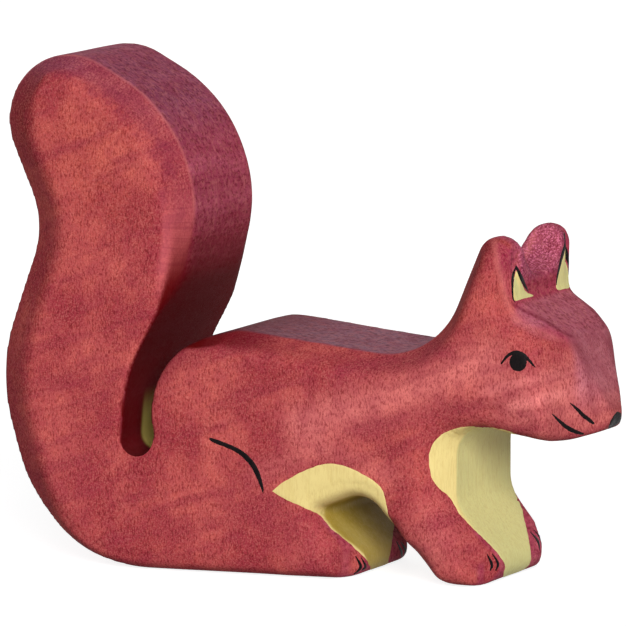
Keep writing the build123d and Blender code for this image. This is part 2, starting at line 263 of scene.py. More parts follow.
def skin_map(name, strength):
    """Keep on the skin how strongly one mark shows at each point; the marks are stains and painted highlights,
    shade and sheen.
    """
    layer = skin.attributes.new(name, "FLOAT", "POINT")
    layer.data.foreach_set("value", np.clip(strength, 0, 1).astype(np.float32))


def spot(centre_x, centre_z, radius_x, radius_z):
    """A soft round patch on both flanks."""
    return np.exp(-((wood[:, 0] - centre_x) / radius_x) ** 2 - ((wood[:, 2] - centre_z) / radius_z) ** 2)


def smear(points, width):
    """A soft streak along a line on both flanks."""
    return np.exp(-(from_line(wood[:, [0, 2]], np.array(points, float))[0] / width) ** 2)


x, y, z = wood.T
outer = np.abs(y)
facing = np.abs(wood_normals[:, 1])
walls = ramp(0.8 - facing, 0, 0.3)
head = np.flatnonzero((x > 25) & (outer > 3))
on_side = seen(folded(wood[head]))


def cheek_line(points, width):
    """A soft line on both sides of the head."""
    mark = np.zeros(len(wood))
    mark[head] = np.exp(-(from_line(on_side, flowing(points))[0] / width) ** 2)
    return mark


def cheek_patch(points, fade):
    """A patch with a soft edge on both sides of the head."""
    mark = np.zeros(len(wood))
    mark[head] = ramp(within(on_side, np.array(points)), -fade, fade)
    return mark


# where the stains are rubbed thin or have turned in colour, and where painted highlights, painted shade and
# painted sheen stand in for the light
ear_ridge = cheek_line([(26.3, 10.3), (26.5, 8.7), (26.9, 6.7), (27.3, 4.8), (27.7, 3.1), (28.3, 1.2),
                        (29.3, -0.5), (29.8, -1.1)], 0.42)
brow_edge = [(29, 1.3), (30.5, 0.4), (32.4, -0.5), (34.4, -1.6), (36.3, -2.9), (37.7, -3.4)]
temple_edge = [(29.5, -1.1), (31.9, -2.2), (34.4, -3.2), (36.8, -4.2), (38, -4.9)]
muzzle_crease = cheek_line([(38, -4.6), (38.9, -5.8), (39.7, -7.8), (40, -9.7), (40.3, -11.6), (40.6, -13.6),
                            (41.1, -15)], 0.6)
ear_hollow = cheek_patch([(26.6, 10.3), (28.3, 9.6), (29.3, 8.4), (28.8, 6.5), (28.5, 4.3), (28.8, 2.1),
                          (29.3, 0.9), (27.7, 3.1), (27.3, 4.8), (26.9, 6.7), (26.5, 8.7)], 0.3)
between_ears = ramp(z, 43, 45) * ramp(10.5 - outer, 0, 2) * ramp(x, 14, 20)
bulge = ((wood - midway(wood)) * wood_normals).sum(1)
for smoothing_pass in range(3):
    bulge = 0.5 * bulge + 0.5 * evened(bulge)
tail_corner = ramp(bulge, 0.012, 0.035) * ramp(12.2 - outer, 0, 0.8) * ramp(-x, 4, 8) * ramp(z, 36, 42)
# painted highlight: a paler line along the outer corner of the tail and the ridges of the ears and temples
skin_map("painted_ridge_highlight", tail_corner + 0.7 * ear_ridge + 0.3 * cheek_line(temple_edge, 0.4))
# painted shade: a dark line along the brow edge, down the muzzle crease and beside the fork between back and
# tail
skin_map("painted_crease_shade", cheek_line(brow_edge, 0.25) + 0.6 * muzzle_crease
          + 0.6 * smear([(-19, 29), (-14, 33.5), (-6, 35.5)], 2) * ramp(facing, 0.3, 0.6))
# painted sheen: a magenta cast on the facets between brow and temple, in the ear hollows and between the ears
skin_map("painted_magenta_sheen", cheek_patch(brow_edge + temple_edge[::-1], 0.3) + 0.8 * ear_hollow + between_ears)
skin_map("torn_grain", between_ears)
cheek = ramp(x, 34.5, 36.5) * ramp(37 - z, 0, 3)
skin_map("flank", np.maximum(ramp(facing, 0.22, 0.45), cheek))
rubbed_cheek = (0.4 * cheek_line([(25, -11.5), (31, -9.8), (38, -8.6)], 0.9)
                + 0.5 * cheek_line([(28.6, -13.4), (33, -12.6), (38.7, -10.8)], 0.7))
skin_map("pale_stain", 0.6 * smear([(3, 22.5), (16, 27), (31, 33)], 3.2) + 0.6 * spot(38, 27, 6, 5)
          + rubbed_cheek + 0.5 * spot(44, 29, 3, 8) + 0.4 * spot(23, 6, 4, 5)
          + 0.3 * smear([(-4, 15), (6, 19), (16, 16)], 2))
# painted shade: darker where the bevels face backwards, away from the lamp, at the rear of the tail and behind
# the ears
painted_rear_shade = ramp(-wood_normals[:, 0], 0.05, 0.45) * ramp(facing, 0.25, 0.45)
behind_ear = 0.6 * ramp(x, 12, 15) * ramp(z, 36, 40)
skin_map("painted_rear_shade", painted_rear_shade * (ramp(-x, 20, 28) * (0.55 + 0.45 * ramp(z, 54, 62)) + behind_ear))
torn_rim = ramp(-x, 6, 12) * ramp(z, 38, 46) * (1 - painted_rear_shade)
skin_map("torn_rim", torn_rim)
# painted highlight: the lower tail bevels that face the lamp are made lighter
skin_map("painted_rim_highlight", torn_rim * ramp(58 - z, 0, 12))
# painted sheen: a mauve cast on the top of the head and on the front of the muzzle
top_of_head = ramp(x, 33.5, 35) * ramp(z, 33, 35) * ramp(wood_normals[:, 2], 0.5, 0.75) * walls
on_muzzle = ramp(x, 40, 41.5) * ramp(9 - outer, 0, 2) * ramp(39 - z, 0, 3) * ramp(z, 24, 30)
skin_map("painted_mauve_sheen", 0.75 * top_of_head + 0.9 * on_muzzle)
# painted sheen and shade: a grey-mauve cast on the tail wall, as sheen where it turns up at the top and as
# shade lower down and in the hollow between the ears
tail_wall = walls * ramp(z, 46, 54) * ramp(-x, 0, 6)
skin_map("painted_sheen_and_shade", tail_wall * (0.3 + 0.7 * ramp(z, 60, 68)) + 0.7 * between_ears)
skin_map("warm_stain", 0.7 * spot(-30, 60, 9, 9) + 0.5 * spot(24, 45, 5, 5) + 0.4 * spot(20, 30, 9, 6)
          + 0.1 * spot(-20, 8, 14, 6))
skin_map("purple_stain", 0.4 * spot(-16, 50, 5, 14) + 0.9 * smear([(9, 30.5), (18, 32.5), (26, 34)], 1.6)
          + 0.5 * spot(-2, 9, 8, 4) + 0.5 * spot(24, 10, 4, 5) + 0.7 * spot(5, 4, 5, 4)
          + 0.4 * spot(-36, 12, 8, 9) + 0.6 * smear([(10, 21.5), (22, 25), (30, 27)], 1.5)
          + 0.6 * cheek_line([(24, -8.8), (30, -7.2), (33, -5.6)], 0.6)
          + 0.5 * cheek_line([(30, -14.6), (35, -14.2), (40, -13)], 0.6))
# painted sheen: the upward faces of the back carry a pale grey-mauve that stands in for the sheen of the white
# surroundings
on_back = ramp(40 - z, 0, 3) * ramp(26 - x, 0, 3)
skin_map("painted_top_sheen", ramp(wood_normals[:, 2], 0.5, 0.95) * walls * on_back)
in_slot = ramp(-x, 18, 19.5) * ramp(x, -29, -27.5) * ramp(26 - z, 0, 6) * ramp(z, 14, 16)
skin_map("bare_wood", in_slot * walls * ramp(7.6 - outer, 0, 1.2))
# painted shade: the walls in the fork between tail and back and in the slot below it are darkened almost to
# black
in_fork = 0.9 * np.exp(-((x + 15) / 11) ** 2 - ((z - 33) / 13) ** 2)
in_gap = ramp(-x, 8, 14) * ramp(x, -30, -29) * ramp(56 - z, 0, 16) * ramp(z, 14, 15)
skin_map("painted_fork_shade", walls * np.maximum(in_fork, in_gap))
nearest_rim = wood.copy()
nearest_rim[edge_zone] = edge
layer = skin.attributes.new("nearest_rim", "FLOAT_VECTOR", "POINT")
layer.data.foreach_set("vector", nearest_rim.astype(np.float32).ravel())


def tone(red, green, blue):
    """A colour as it looks, turned into the linear values that a shader takes."""
    shade = np.array((red, green, blue)) / 255
    linear = np.where(shade <= 0.04045, shade / 12.92, ((shade + 0.055) / 1.055) ** 2.4)
    return (*linear.tolist(), 1.0)


def wire(tree, kind, feeds, **settings):
    """A new node with its sockets fed by values or by other nodes."""
    node = tree.nodes.new("ShaderNode" + kind)
    for name, value in settings.items():
        setattr(node, name, value)
    for socket, value in feeds.items():
        if isinstance(value, bpy.types.NodeSocket):
            tree.links.new(value, node.inputs[socket])
        else:
            node.inputs[socket].default_value = value
    return node


def band(tree, value, low, high, to_low=0.0, to_high=1.0):
    """A soft step in a material."""
    limits = {"Value": value, "From Min": low, "From Max": high, "To Min": to_low, "To Max": to_high}
    return wire(tree, "MapRange", limits, interpolation_type="SMOOTHSTEP").outputs["Result"]


def sums(tree, operation, first, second):
    """Two values put together."""
    return wire(tree, "Math", {0: first, 1: second}, operation=operation).outputs[0]


def tint(tree, amount, under, over):
    """One colour laid over another."""
    return wire(tree, "Mix", {0: amount, 6: under, 7: over}, data_type="RGBA").outputs[2]


def stretched_noise(tree, steps, detail, roughness=0.55):
    """Noise with its own size along each axis."""
    place = wire(tree, "TexCoord", {}).outputs["Object"]
    spread = wire(tree, "VectorMath", {0: place, 1: steps}, operation="DIVIDE").outputs[0]
    return wire(tree, "TexNoise", {"Vector": spread, "Scale": 1.0, "Detail": detail,
                                   "Roughness": roughness}).outputs[0]


def new_group(name, inputs, outputs):
    """An empty node group with named values in and out."""
    group = bpy.data.node_groups.new(name, "ShaderNodeTree")
    for label, value in inputs.items():
        group.interface.new_socket(label, in_out="INPUT", socket_type="NodeSocketFloat").default_value = value
    for label in outputs:
        group.interface.new_socket(label, in_out="OUTPUT", socket_type="NodeSocketFloat")
    return group, group.nodes.new("NodeGroupInput"), group.nodes.new("NodeGroupOutput")


def place_group(tree, group, values):
    """A group placed in a material with its own values."""
    node = tree.nodes.new("ShaderNodeGroup")
    node.node_tree = group
    for label, value in values.items():
        node.inputs[label].default_value = value
    return node.outputs


# pores of the wood: short dark flecks that stand upright on the faces, over an uneven cloud of stain
pores, given, result = new_group("upright_pores", {"Pore Length": 0.0011, "Pore Width": 0.00026,
                                                   "Cloud Size": 0.009}, ("Pores", "Clouds", "Mottle"))
width = given.outputs["Pore Width"]
upright = wire(pores, "CombineXYZ", {0: width, 1: width, 2: given.outputs["Pore Length"]}).outputs[0]
fleck = stretched_noise(pores, upright, 4.0, 0.75)
pores.links.new(band(pores, fleck, 0.48, 0.62), result.inputs["Pores"])
size = given.outputs["Cloud Size"]
even_spread = wire(pores, "CombineXYZ", {0: size, 1: size, 2: size}).outputs[0]
cloud = stretched_noise(pores, even_spread, 3.0)
pores.links.new(band(pores, cloud, 0.33, 0.68), result.inputs["Clouds"])
fine_spread = wire(pores, "CombineXYZ", {0: width, 1: width, 2: width}).outputs[0]
speckle = stretched_noise(pores, fine_spread, 3.0, 0.7)
pores.links.new(band(pores, speckle, 0.44, 0.64), result.inputs["Mottle"])

# marks of the saw and of the sanding paper: fine lines that run across the thickness of the board
marks, given, result = new_group("cross_marks", {"Spacing": 0.0005}, ("Lines", "Bands"))
spacing = given.outputs["Spacing"]
long_way = sums(marks, "MULTIPLY", spacing, 16.0)
across = wire(marks, "CombineXYZ", {0: spacing, 1: long_way, 2: spacing}).outputs[0]
marks.links.new(band(marks, stretched_noise(marks, across, 2.0), 0.35, 0.66), result.inputs["Lines"])
broad = wire(marks, "VectorMath", {0: across, 1: (6.0, 4.0, 6.0)}, operation="MULTIPLY").outputs[0]
marks.links.new(band(marks, stretched_noise(marks, broad, 2.0), 0.35, 0.68), result.inputs["Bands"])


def finish(name):
    """A new material with its node tree and its main shader."""
    material = bpy.data.materials.new(name)
    material.use_nodes = True
    tree = material.node_tree
    return material, tree, tree.nodes["Principled BSDF"]


stained, tree, shader = finish("red_stained_hardwood")
grain = place_group(tree, pores, {"Pore Length": 0.0007, "Pore Width": 0.00026, "Cloud Size": 0.008})
ink = place_group(tree, pores, {"Pore Length": 0.0005, "Pore Width": 0.0008, "Cloud Size": 0.0025})
saw = place_group(tree, marks, {"Spacing": 0.00045})
turned = wire(tree, "SeparateXYZ", {0: wire(tree, "NewGeometry", {}).outputs["Normal"]}).outputs
flat = wire(tree, "Math", {0: turned["Y"]}, operation="ABSOLUTE").outputs[0]
on_edge = sums(tree, "MULTIPLY", band(tree, flat, 0.25, 0.5), band(tree, flat, 0.98, 0.85))


def skin_value(name):
    """How strongly one of the marks kept on the skin shows here."""
    return wire(tree, "Attribute", {}, attribute_name=name).outputs["Fac"]


def overlaid(under, amount, share, over):
    """A mark laid over a colour, stains and painted light alike; share is how much of it shows at its
    strongest.
    """
    return tint(tree, sums(tree, "MULTIPLY", amount, share), under, over)


def by_face(of_wall, of_face):
    """One value on the sawn walls and another on the flanks."""
    return wire(tree, "Mix", {0: skin_value("flank"), 2: of_wall, 3: of_face}).outputs[0]


place = wire(tree, "TexCoord", {}).outputs["Object"]
slanted = wire(tree, "VectorRotate", {"Vector": place, "Angle": radians(20)},
               rotation_type="Y_AXIS").outputs[0]
spread = wire(tree, "VectorMath", {0: slanted, 1: (0.02, 0.02, 0.0022)}, operation="DIVIDE").outputs[0]
streaks = band(tree, wire(tree, "TexNoise", {"Vector": spread, "Scale": 1.0}).outputs[0], 0.45, 0.68)
face = tint(tree, grain["Clouds"], tone(152, 52, 58), tone(191, 87, 81))
face = overlaid(face, skin_value("warm_stain"), 0.6, tone(206, 100, 82))
face = overlaid(face, skin_value("pale_stain"), 0.9, tone(230, 130, 126))
face = overlaid(face, skin_value("purple_stain"), 0.6, tone(146, 48, 66))
face = overlaid(face, streaks, 0.5, tone(140, 44, 58))
# painted shade on the bevels that face backwards
face = overlaid(face, skin_value("painted_rear_shade"), 0.75, tone(124, 34, 38))
# the sawn walls take a tone of their own with the saw marks in it; its mauve cast is painted sheen
wall = tint(tree, saw["Bands"], tone(176, 64, 86), tone(202, 90, 112))
wall = overlaid(wall, saw["Lines"], 0.25, tone(116, 34, 52))
# painted sheen on the upward faces of the back
wall = overlaid(wall, skin_value("painted_top_sheen"), 0.85, tone(132, 98, 115))
colour = tint(tree, skin_value("flank"), wall, face)
# painted sheen in magenta on the brow facets and in the ear hollows
colour = overlaid(colour, skin_value("painted_magenta_sheen"), 0.5, tone(172, 54, 92))
# painted sheen and shade on the tail wall and between the ears
colour = overlaid(colour, skin_value("painted_sheen_and_shade"), 0.65, tone(126, 73, 100))
# painted sheen in mauve on the top of the head and the muzzle front
colour = overlaid(colour, skin_value("painted_mauve_sheen"), 0.8, tone(190, 112, 128))
colour = overlaid(colour, by_face(ink["Mottle"], grain["Mottle"]), 0.25, tone(236, 146, 134))
colour = overlaid(colour, ink["Clouds"], 0.36, tone(146, 46, 66))
fleck = sums(tree, "MULTIPLY", by_face(ink["Pores"], grain["Pores"]), 0.7)
colour = wire(tree, "Mix", {0: fleck, 6: colour, 7: tone(170, 118, 128)}, data_type="RGBA",
              blend_type="MULTIPLY").outputs[2]
along_rim = wire(tree, "Attribute", {}, attribute_name="nearest_rim").outputs["Vector"]
along_rim = wire(tree, "VectorMath", {0: along_rim, 1: (0.36, 0.36, 0.36)}, operation="DIVIDE").outputs[0]
fibres = wire(tree, "TexNoise", {"Vector": along_rim, "Scale": 1.0, "Detail": 3.0,
                                 "Roughness": 0.7}).outputs[0]
on_rim = sums(tree, "MULTIPLY", on_edge, skin_value("torn_rim"))
colour = overlaid(colour, on_rim, 0.12, tone(136, 52, 68))
# painted highlight on the lower tail bevels that face the lamp
rim_highlight = sums(tree, "MULTIPLY", on_edge, skin_value("painted_rim_highlight"))
colour = overlaid(colour, rim_highlight, 0.5, tone(224, 112, 114))
frayed = sums(tree, "MULTIPLY", on_rim, band(tree, fibres, 0.44, 0.66))
colour = overlaid(colour, frayed, 0.3, tone(116, 34, 56))
blotched = sums(tree, "MULTIPLY", on_rim, band(tree, ink["Clouds"], 0.4, 0.9))
colour = overlaid(colour, blotched, 0.2, tone(112, 38, 62))
# painted highlight along the tail corner and the ridges of the ears and temples
colour = overlaid(colour, skin_value("painted_ridge_highlight"), 0.5, tone(228, 128, 122))
# painted shade in the creases of the head and beside the fork
colour = overlaid(colour, skin_value("painted_crease_shade"), 0.6, tone(108, 26, 44))
# painted shade in the fork and slot between tail and body
colour = overlaid(colour, skin_value("painted_fork_shade"), 0.94, tone(88, 4, 5))
burrs = band(tree, stretched_noise(tree, (0.0003,) * 3, 2.0), 0.5, 0.62)
torn = sums(tree, "MULTIPLY", skin_value("torn_grain"), burrs)
colour = overlaid(colour, torn, 0.6, tone(232, 126, 156))
colour = tint(tree, skin_value("bare_wood"), colour, tone(190, 172, 92))
tree.links.new(colour, shader.inputs["Base Color"])
tree.links.new(band(tree, grain["Mottle"], 0.0, 1.0, 0.5, 0.66), shader.inputs["Roughness"])
shader.inputs["Specular IOR Level"].default_value = 0.008
relief = sums(tree, "SUBTRACT", sums(tree, "MULTIPLY", saw["Lines"], 0.5), grain["Pores"])
relief = sums(tree, "ADD", relief, sums(tree, "MULTIPLY", torn, 3.0))
bump = wire(tree, "Bump", {"Height": relief, "Distance": 0.00006, "Strength": 0.25})
tree.links.new(bump.outputs[0], shader.inputs["Normal"])
skin.materials.clear()
skin.materials.append(stained)
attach(board, "root")
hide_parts("wooden_body")

# The bib: a coat of cream paint brushed over the throat and chest, lapped round both flanks, and drawn
# down the front of the fore leg as a stripe, so that the one wide leg looks like two.
cream_film, black_film = 0.05, 0.06  # height of each paint over the wood
sunk_edge, bedded = 0.004, 0.03  # depth of its edge and of its underside in the wood
longest_side = 0.7  # of a triangle of the skin


def brushed(spots, size, depth):
    """Small waver of a brushed edge."""
    return depth * np.array([noise.noise(Vector(place) / size) for place in spots])


def coat(name, node, material, cover, low, high, splits, thickness):
    """A coat of paint: the board's skin where cover is above zero, lifted a little and closed underneath."""
    # the part of the skin that the brush reaches, with its triangles split finer
    near = ((wood > low) & (wood < high)).all(1)
    corners = wood_triangles[near[wood_triangles].all(1)]
    place, outward = wood[corners], wood_normals[corners]
    for split in range(splits + 1):
        reach = cover(place.reshape(-1, 3)).reshape(-1, 3).max(1)
        kept = reach > -longest_side / 2 ** split
        place, outward = place[kept], outward[kept]
        if split < splits:
            halves = (place + np.roll(place, -1, 1)) / 2, (outward + np.roll(outward, -1, 1)) / 2
            place, outward = (np.concatenate((np.stack((full[:, 0], half[:, 0], half[:, 2]), 1),
                                              np.stack((half[:, 0], full[:, 1], half[:, 1]), 1),
                                              np.stack((half[:, 2], half[:, 1], full[:, 2]), 1), half))
                              for full, half in zip((place, outward), halves))
    spots, first, index = np.unique(place.reshape(-1, 3).round(5), axis=0, return_index=True,
                                    return_inverse=True)
    outward = outward.reshape(-1, 3)[first]
    index = index.reshape(-1, 3)

    # triangles that the edge of the paint crosses are cut along it
    depth = cover(spots)
    wet = depth > 0
    cuts, faces = {}, []

    def cut(dry, painted):
        """The point at which the edge of the paint crosses one side of a triangle."""
        key = (min(dry, painted), max(dry, painted))
        return cuts.setdefault(key, len(spots) + len(cuts))

    for trio in index[wet[index].any(1)].tolist():
        dry = [corner for corner in trio if not wet[corner]]
        if not dry:
            faces.append(trio)
            continue
        lead = trio.index(dry[0]) if len(dry) == 1 else next(k for k in range(3) if wet[trio[k]])
        a, b, c = trio[lead:] + trio[:lead]
        if len(dry) == 1:
            faces += [[cut(a, b), b, c], [cut(a, b), c, cut(a, c)]]
        else:
            faces.append([a, cut(b, a), cut(c, a)])
    ends = np.array(list(cuts), int).reshape(-1, 2)
    share = (depth[ends[:, 0]] / (depth[ends[:, 0]] - depth[ends[:, 1]]))[:, None]
    spots = np.vstack((spots, spots[ends[:, 0]] * (1 - share) + spots[ends[:, 1]] * share))
    outward = np.vstack((outward, outward[ends[:, 0]] * (1 - share) + outward[ends[:, 1]] * share))
    outward /= np.linalg.norm(outward, axis=1)[:, None]
    depth = np.concatenate((depth, np.zeros(len(ends))))
    used, faces = np.unique(np.array(faces), return_inverse=True)
    faces = faces.reshape(-1, 3)
    spots, outward, depth = spots[used], outward[used], depth[used]
    rims = used >= len(wet)

    # the film swells from its edge to its full thickness
    top = spots + outward * (thickness * ramp(depth, 0, 3 * thickness) - sunk_edge)[:, None]
    under = np.flatnonzero(~rims)
    below = np.arange(len(spots))
    below[under] = len(spots) + np.arange(len(under))
    bottom = spots[under] - outward[under] * bedded
    film = bpy.data.meshes.new(name)
    film.from_pydata(np.clip(np.vstack((top, bottom)) / 1000, *cad_box), [],
                     np.vstack((faces, below[faces][:, ::-1])).tolist())
    film.shade_smooth()
    on_rim = np.concatenate((rims, np.zeros(len(under), bool)))
    film.edges.foreach_set("use_edge_sharp", on_rim[pairs_of(film)].all(1))
    film.materials.append(material)
    piece = set_up(name, film)
    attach(piece, "root")
    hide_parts(node)


def cream_paint(name, wall_colour):
    """Cream on the sanded flanks and the given colour on the sawn walls, which for the belly is painted shade.
    """
    material, tree, shader = finish(name)
    grain = place_group(tree, pores, {"Pore Length": 0.0016, "Pore Width": 0.0003, "Cloud Size": 0.006})
    brush = place_group(tree, pores, {"Pore Length": 0.009, "Pore Width": 0.0005, "Cloud Size": 0.004})
    normal = wire(tree, "NewGeometry", {}).outputs["Normal"]
    aside = wire(tree, "SeparateXYZ", {0: normal}).outputs["Y"]
    flat = wire(tree, "Math", {0: aside}, operation="ABSOLUTE").outputs[0]
    colour = tint(tree, band(tree, flat, 0.1, 0.35), wall_colour, tone(222, 201, 133))
    colour = tint(tree, sums(tree, "MULTIPLY", grain["Clouds"], 0.15), colour, tone(243, 226, 150))
    colour = tint(tree, sums(tree, "MULTIPLY", brush["Pores"], 0.2), colour, tone(204, 178, 104))
    colour = tint(tree, sums(tree, "MULTIPLY", grain["Pores"], 0.2), colour, tone(194, 160, 96))
    tree.links.new(colour, shader.inputs["Base Color"])
    tree.links.new(band(tree, brush["Mottle"], 0.0, 1.0, 0.5, 0.62), shader.inputs["Roughness"])
    shader.inputs["Specular IOR Level"].default_value = 0.1
    relief = sums(tree, "ADD", grain["Pores"], brush["Pores"])
    bump = wire(tree, "Bump", {"Height": relief, "Distance": 0.00004, "Strength": 0.4}, invert=True)
    tree.links.new(bump.outputs[0], shader.inputs["Normal"])
    return material


cream = cream_paint("brushed_cream_paint", tone(228, 221, 150))
bib_edge = flowing([(34.02, -18.66), (29.82, -17.66), (28.22, -17.06), (26.22, -16.66), (24.32, -16.56),
                    (23.12, -16.46), (21.32, -16.56), (19.42, -17.16), (17.92, -18.26), (17.12, -19.46),
                    (16.82, -21.06), (16.92, -22.76), (17.42, -24.36), (18.42, -25.56), (19.72, -26.66),
                    (20.42, -27.76), (21.32, -29.26), (22.72, -30.76), (24.12, -32.16), (25.72, -33.66),
                    (27.12, -35.36), (27.82, -36.66), (27.62, -37.76), (27.22, -40.66)])
bib_outline = np.vstack((bib_edge, [(61.02, -40.66), (61.02, -18.66)]))
bib_left = flowing([(35.02, -12.66), (32.62, -20.66), (29.72, -26.66), (29.92, -27.36), (30.42, -28.76),
                    (30.82, -30.66), (31.22, -32.26), (31.42, -33.66), (31.62, -35.36), (31.42, -36.46),
                    (30.52, -40.66)])
bib_left = np.vstack((bib_left, [(1.02, -40.66), (1.02, -12.66)]))


def bib_cover(spots):
    """The bib ends at the same line on both flanks, and above the left toes at a line of its own."""
    edge = np.minimum(within(seen(folded(spots)), bib_outline), within(seen(spots), bib_left))
    over_toes = 0.832 * (10.9 - spots[:, 1]) + 0.555 * (spots[:, 2] - 10.6)
    return np.minimum(edge, over_toes) + brushed(spots, 0.9, 0.09)


coat("bib", "bib_paint", cream, bib_cover, (19, -15.1, -0.1), (36, 15.1, 25),
     splits=1, thickness=cream_film)

# The belly: the same cream brushed as a leaf on both flanks, through the arch between the legs, and down
# the front of the hind leg. On the walls of the arch it is dark olive, which is painted shade.
leaf_top = flowing([(-2.3, 12.4), (-1.9, 12.6), (-0.2, 13.9), (1.7, 15.1), (3.7, 16.1), (5.6, 16.8),
                    (7.5, 17.1), (8.9, 17), (10.7, 16.5), (12.1, 15.9), (13.4, 15.3), (14.5, 14.5),
                    (15.3, 13.6), (15.7, 12.3), (15.9, 11.1), (16, 9.7), (16.1, 8.3), (16.2, 6.6)])
leaf_outline = np.vstack((leaf_top, [(16.2, -3), (-2.3, -3)]))
thigh_edge = flowing([(-7.98, -24.06), (-6.08, -25.76), (-4.18, -26.86), (-2.08, -27.86), (-0.28, -28.66),
                      (1.02, -29.36), (2.62, -31.26), (3.82, -32.16), (5.22, -33.36), (6.62, -34.66),
                      (7.62, -35.66), (8.22, -36.66), (8.32, -37.06), (8.22, -40.66)])
thigh_outline = np.vstack((thigh_edge, [(61, -40.7), (61, -10), (-8, -10)]))
leg_left = flowing([(15.02, -22.66), (13.42, -26.26), (11.92, -29.26), (11.82, -30.36), (11.62, -31.76),
                    (11.42, -33.36), (11.22, -34.76), (10.92, -36.06), (10.32, -40.66)])
leg_left = np.vstack((leg_left, [(-18.98, -40.66), (-18.98, -22.66)]))


def belly_cover(spots):
    """The leaf, less the thigh below it, and on the hind leg only as far as the left foot."""
    flank = within(spots[:, [0, 2]], leaf_outline)
    thigh = within(seen(folded(spots)), thigh_outline)
    off_leg = (spots[:, 0] > 11.1) | (spots[:, 2] > 9.5)
    left = np.where(off_leg, 9, within(seen(spots), leg_left))
    return np.minimum(np.minimum(flank, thigh), left) + brushed(spots, 0.9, 0.09)


# on its walls the belly's cream is dark olive, painted shade inside the arch
arch_shaded_cream = cream_paint("cream_paint_with_painted_arch_shade", tone(166, 141, 52))
coat("belly", "belly_paint", arch_shaded_cream, belly_cover, (-4, -15.1, -0.1), (21, 15.1, 19),
     splits=1, thickness=cream_film)

# The ear insides: a small cream wedge on the front of each ear, dabbed on with the tip of the brush. It
# is the paint of the bib, and it ends straight where the ear meets the forehead.
right_wedge = flowing([(29.4, 6.4), (29.1, 4.6), (29, 3), (29.2, 1.8), (30.6, 2.1), (32, 2.5), (31, 3),
                       (30.3, 4.2), (29.8, 5.5)], 4)
left_wedge = flowing([(9.4, 47.5), (8.3, 46), (7.2, 44.4), (6.1, 42.6), (5.4, 41.2), (8.3, 41), (11.3, 41),
                      (11.3, 42.4), (10.9, 44), (10.3, 45.8)], 4)


def from_front(spots):
    """Where points lie as seen from straight in front of the figure."""
    return spots[:, 1:]


for side, look, wedge, low_y, high_y in (("right", seen, right_wedge, -15, -0.5),
                                         ("left", from_front, left_wedge, 2, 15)):
    coat(f"{side}_ear_inside", f"{side}_ear_paint", cream,
         lambda spots: within(look(spots), wedge) + brushed(spots, 0.7, 0.06),
         (32, low_y, 37), (38, high_y, 50), splits=2, thickness=cream_film)

# The ear outlines: black strokes laid along both slanting sides of each wedge with a fine brush, which
# start full at the tip of the ear and run out thin.
black, tree, shader = finish("brushed_black_paint")
grain = place_group(tree, pores, {"Pore Length": 0.0012, "Pore Width": 0.0003, "Cloud Size": 0.002})
colour = tint(tree, grain["Clouds"], tone(8, 6, 7), tone(20, 15, 16))
colour = tint(tree, sums(tree, "MULTIPLY", grain["Pores"], 0.25), colour, tone(38, 20, 22))
tree.links.new(colour, shader.inputs["Base Color"])
tree.links.new(band(tree, grain["Clouds"], 0.0, 1.0, 0.42, 0.6), shader.inputs["Roughness"])
shader.inputs["Specular IOR Level"].default_value = 0.06
bump = wire(tree, "Bump", {"Height": grain["Pores"], "Distance": 0.00003, "Strength": 0.4}, invert=True)
tree.links.new(bump.outputs[0], shader.inputs["Normal"])


def on_stroke(spots, line):
    """How far inside a brush stroke each point lies; the third column of the line is half its width."""
    apart, where = from_line(spots, line)
    low = np.minimum(where.astype(int), len(line) - 2)
    part = where - low
    return line[low, 2] * (1 - part) + line[low + 1, 2] * part - apart


def on_strokes(spots, lines):
    """How far inside the nearest of several strokes each point lies."""
    return np.max([on_stroke(spots, line) for line in lines], 0)


right_strokes = [flowing([(29.45, 6.8, 0.1), (29, 5.5, 0.2), (28.9, 3.8, 0.17), (29, 2.2, 0.14),
                          (29.3, 1.5, 0.06)]),
                 flowing([(29.45, 6.8, 0.12), (30, 5.5, 0.28), (30.6, 4.2, 0.24), (31.2, 3.1, 0.08)])]
left_strokes = [flowing([(9.9, 49, 0.1), (9.2, 47.9, 0.4), (7.9, 46.4, 0.5), (6.8, 44.6, 0.46),
                         (6, 42.9, 0.34), (5.6, 41.7, 0.1)]),
                flowing([(9.9, 49, 0.1), (10.6, 47.2, 0.42), (11.2, 45.4, 0.44), (11.6, 43.6, 0.3),
                         (11.7, 42, 0.1)])]
for side, look, strokes, low_y, high_y in (("right", seen, right_strokes, -15, -0.5),
                                           ("left", from_front, left_strokes, 2, 12.4)):
    coat(f"{side}_ear_outline", f"{side}_ear_lines", black,
         lambda spots: on_strokes(look(spots), strokes) + brushed(spots, 0.5, 0.03),
         (32, low_y, 36), (38, high_y, 51), splits=2, thickness=black_film)

# The eyes: a round black pupil under one arched stroke for the lid, brushed on both flanks of the head.
# The lid is drawn in one pull, thin at both ends and full over the pupil.
pupil_x, pupil_z, pupil_length, pupil_height = 35.9, 33, 1.28, 1.34
lid = flowing([(33.4, 32.7, 0.14), (34, 33.5, 0.2), (34.8, 34.15, 0.26), (35.75, 34.4, 0.28),
               (36.75, 34, 0.26), (37.55, 33.2, 0.2), (38.25, 32.3, 0.08)])


def eye_cover(spots):
    """The pupil and the lid, painted as one."""
    flat = spots[:, [0, 2]]
    pupil = 1.2 - 1.2 * np.hypot((flat[:, 0] - pupil_x) / pupil_length, (flat[:, 1] - pupil_z) / pupil_height)
    return np.maximum(pupil, on_stroke(flat, lid)) + brushed(spots, 0.5, 0.04)


for side, low_y, high_y in (("right", -15.1, -8), ("left", 8, 15.1)):
    coat(f"{side}_eye", f"{side}_eye", black, eye_cover,
         (32, low_y, 30), (41, high_y, 36), splits=2, thickness=black_film)

